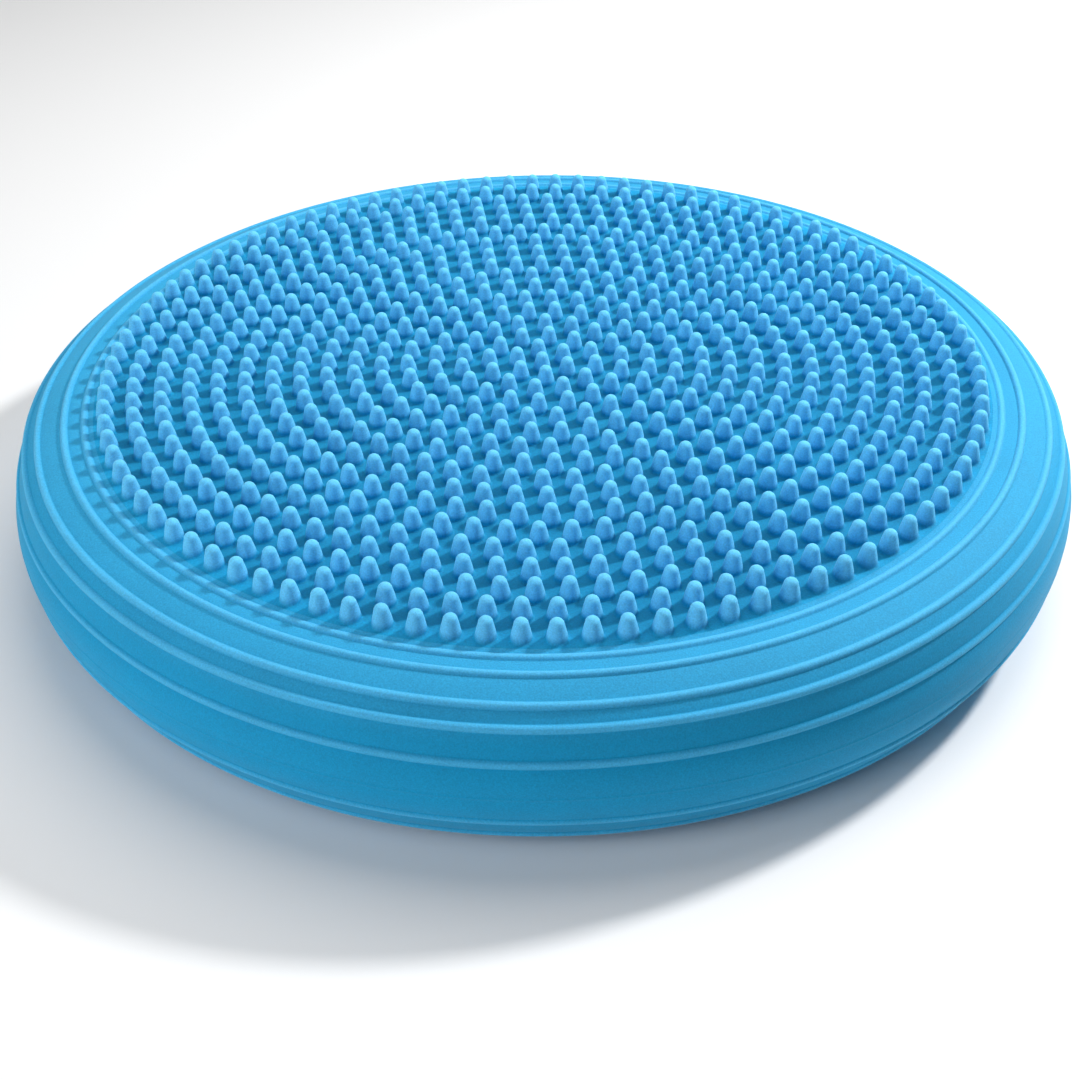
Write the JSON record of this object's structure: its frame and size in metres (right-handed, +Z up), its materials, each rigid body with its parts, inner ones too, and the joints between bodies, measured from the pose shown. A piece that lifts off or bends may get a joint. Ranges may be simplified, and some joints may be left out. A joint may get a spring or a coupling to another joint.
{
  "type": "balance disc",
  "caption": "Round air-filled balance disc of soft vinyl with a nubbed top face, beaded shoulders and a plugged side valve.",
  "frame": {"origin": "Centre of the underside, on the floor.", "axes": "+Z up through the middle of the nubbed face, +Y towards the valve, +X to the right when the valve is at the back."},
  "size_m": [0.3268, 0.3268, 0.0562],
  "materials": {
    "vinyl": "matt sky-blue soft vinyl with a fine grain",
    "valve_rubber": "matt black rubber",
    "valve_plastic": "satin off-white plastic"
  },
  "bodies": {
    "base": {"base_panel": "vinyl", "lower_shoulder": "vinyl"},
    "waist": {"side_band": "vinyl", "valve_collar": "vinyl", "valve_core": "valve_rubber"},
    "deck": {"nub_deck": "vinyl", "upper_shoulder": "vinyl"},
    "plug": {"valve_plug": "valve_plastic"}
  },
  "joints": [
    {"name": "side_tilt", "type": "hinge", "parent": "base", "child": "waist", "pos_m": [0, 0, 0.025], "axis": [0, 1, 0], "range_deg": [-4, 4], "stiffness_Nm_per_rad": 100, "deforming": ["lower_shoulder"]},
    {"name": "front_tilt", "type": "hinge", "parent": "waist", "child": "deck", "pos_m": [0, 0, 0.025], "axis": [1, 0, 0], "range_deg": [-4, 4], "stiffness_Nm_per_rad": 100, "deforming": ["upper_shoulder"]},
    {"name": "plug_pull", "type": "slide", "parent": "waist", "child": "plug", "axis": [0, 1, 0], "range_m": [0, 0.026]}
  ]
}
